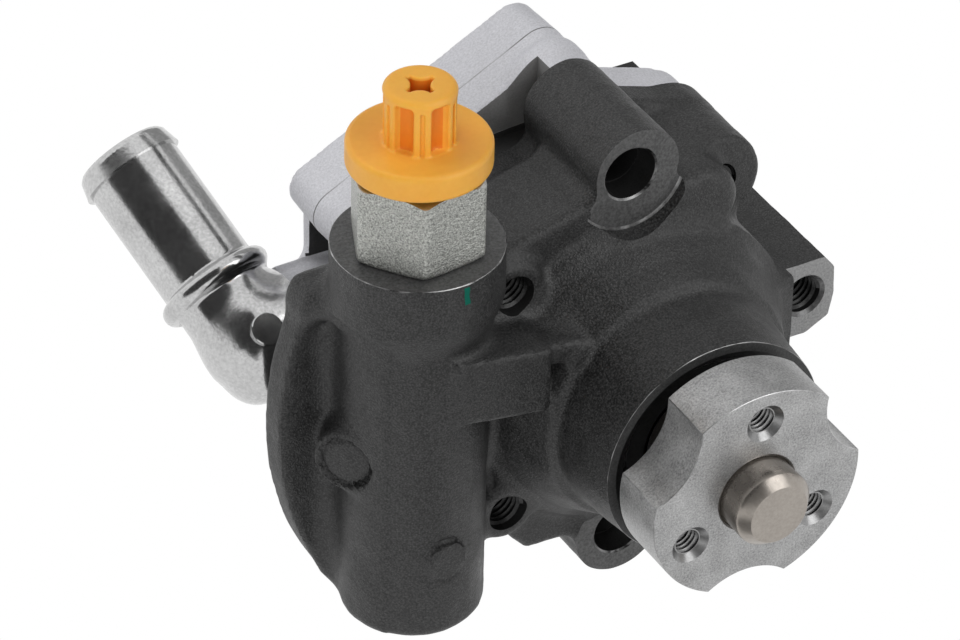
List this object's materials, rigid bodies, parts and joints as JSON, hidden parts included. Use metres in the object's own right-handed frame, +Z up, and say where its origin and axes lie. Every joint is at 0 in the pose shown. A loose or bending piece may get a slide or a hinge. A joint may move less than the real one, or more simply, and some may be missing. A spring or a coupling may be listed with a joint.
{
  "type": "power steering pump",
  "caption": "Hydraulic vane pump for power steering with cast iron housing, side flow control valve, scalloped pulley hub, aluminium rear cover, suction elbow and plugged pressure outlet.",
  "frame": {"origin": "shaft axis at the pulley face of the hub", "axes": "-Y towards the pulley along the shaft, +Z up along the flow control valve bore to the pressure outlet, +X away from the valve"},
  "size_m": [0.1245, 0.1327, 0.1265],
  "materials": {
    "cast_iron": "sand cast, dark phosphated, machined faces bare",
    "cast_aluminium": "die cast, matt blasted",
    "black_steel": "black phosphate",
    "seal_rubber": "matt",
    "bronze": "turned",
    "bright_plating": "bright plated with fine scratches",
    "zinc_steel": "zinc plated over a blasted surface",
    "yellow_plastic": "satin translucent plastic",
    "machined_steel": "fine turned and ground",
    "ground_steel": "ground"
  },
  "bodies": {
    "pump_body": {"housing": "cast_iron", "rear_cover": "cast_aluminium", "cover_bolts": "black_steel", "cover_seal_ring": "seal_rubber", "shaft_bush": "bronze", "suction_elbow": "bright_plating", "elbow_seal_ring": "seal_rubber", "outlet_union": "zinc_steel", "union_seal_ring": "seal_rubber", "transport_plug": "yellow_plastic", "bearing_outer_race": "ground_steel", "bearing_shields": "seal_rubber", "bearing_circlip": "black_steel", "shaft_seal": "seal_rubber", "seal_spring": "ground_steel", "plate_spring": "ground_steel", "front_plate": "machined_steel", "cam_ring": "machined_steel", "rear_plate": "machined_steel", "dowel_pins": "ground_steel", "valve_spring": "ground_steel"},
    "drive": {"pulley_hub": "machined_steel", "drive_shaft": "ground_steel", "bearing_inner_race": "ground_steel", "rotor": "machined_steel", "rotor_circlip": "black_steel"},
    "ball_set": {"bearing_balls": "ground_steel", "bearing_cage": "bronze"},
    "vane_01_body": {"vane_01": "ground_steel"},
    "vane_02_body": {"vane_02": "ground_steel"},
    "vane_03_body": {"vane_03": "ground_steel"},
    "vane_04_body": {"vane_04": "ground_steel"},
    "vane_05_body": {"vane_05": "ground_steel"},
    "vane_06_body": {"vane_06": "ground_steel"},
    "vane_07_body": {"vane_07": "ground_steel"},
    "vane_08_body": {"vane_08": "ground_steel"},
    "vane_09_body": {"vane_09": "ground_steel"},
    "vane_10_body": {"vane_10": "ground_steel"},
    "spool": {"valve_spool": "ground_steel"}
  },
  "joints": [
    {"name": "shaft_spin", "type": "hinge", "parent": "pump_body", "child": "drive", "pos_m": [0, 0, 0], "axis": [0, -1, 0], "continuous": true},
    {"name": "ball_spin", "type": "hinge", "parent": "pump_body", "child": "ball_set", "pos_m": [0, 0.025, 0], "axis": [0, -1, 0], "continuous": true},
    {"name": "spool_slide", "type": "slide", "parent": "pump_body", "child": "spool", "axis": [0, 0, -1], "range_m": [0, 0.009], "stiffness_N_per_m": 6000, "springref_m": -0.003, "deforming": ["valve_spring"]},
    {"name": "vane_01_slide", "type": "slide", "parent": "drive", "child": "vane_01_body", "axis": [0.9877, 0, 0.1564], "range_m": [-0.0019, 0]},
    {"name": "vane_02_slide", "type": "slide", "parent": "drive", "child": "vane_02_body", "axis": [0.7071, 0, 0.7071], "range_m": [-0.0019, 0]},
    {"name": "vane_03_slide", "type": "slide", "parent": "drive", "child": "vane_03_body", "axis": [0.1564, 0, 0.9877], "range_m": [-0.0019, 0]},
    {"name": "vane_04_slide", "type": "slide", "parent": "drive", "child": "vane_04_body", "axis": [-0.454, 0, 0.891], "range_m": [-0.0019, 0]},
    {"name": "vane_05_slide", "type": "slide", "parent": "drive", "child": "vane_05_body", "axis": [-0.891, 0, 0.454], "range_m": [-0.0019, 0]},
    {"name": "vane_06_slide", "type": "slide", "parent": "drive", "child": "vane_06_body", "axis": [-0.9877, 0, -0.1564], "range_m": [-0.0019, 0]},
    {"name": "vane_07_slide", "type": "slide", "parent": "drive", "child": "vane_07_body", "axis": [-0.7071, 0, -0.7071], "range_m": [-0.0019, 0]},
    {"name": "vane_08_slide", "type": "slide", "parent": "drive", "child": "vane_08_body", "axis": [-0.1564, 0, -0.9877], "range_m": [-0.0019, 0]},
    {"name": "vane_09_slide", "type": "slide", "parent": "drive", "child": "vane_09_body", "axis": [0.454, 0, -0.891], "range_m": [-0.0019, 0]},
    {"name": "vane_10_slide", "type": "slide", "parent": "drive", "child": "vane_10_body", "axis": [0.891, 0, -0.454], "range_m": [-0.0019, 0]}
  ],
  "couplings": [
    {"joint": "ball_spin", "follows": "shaft_spin", "ratio": 0.3818}
  ]
}
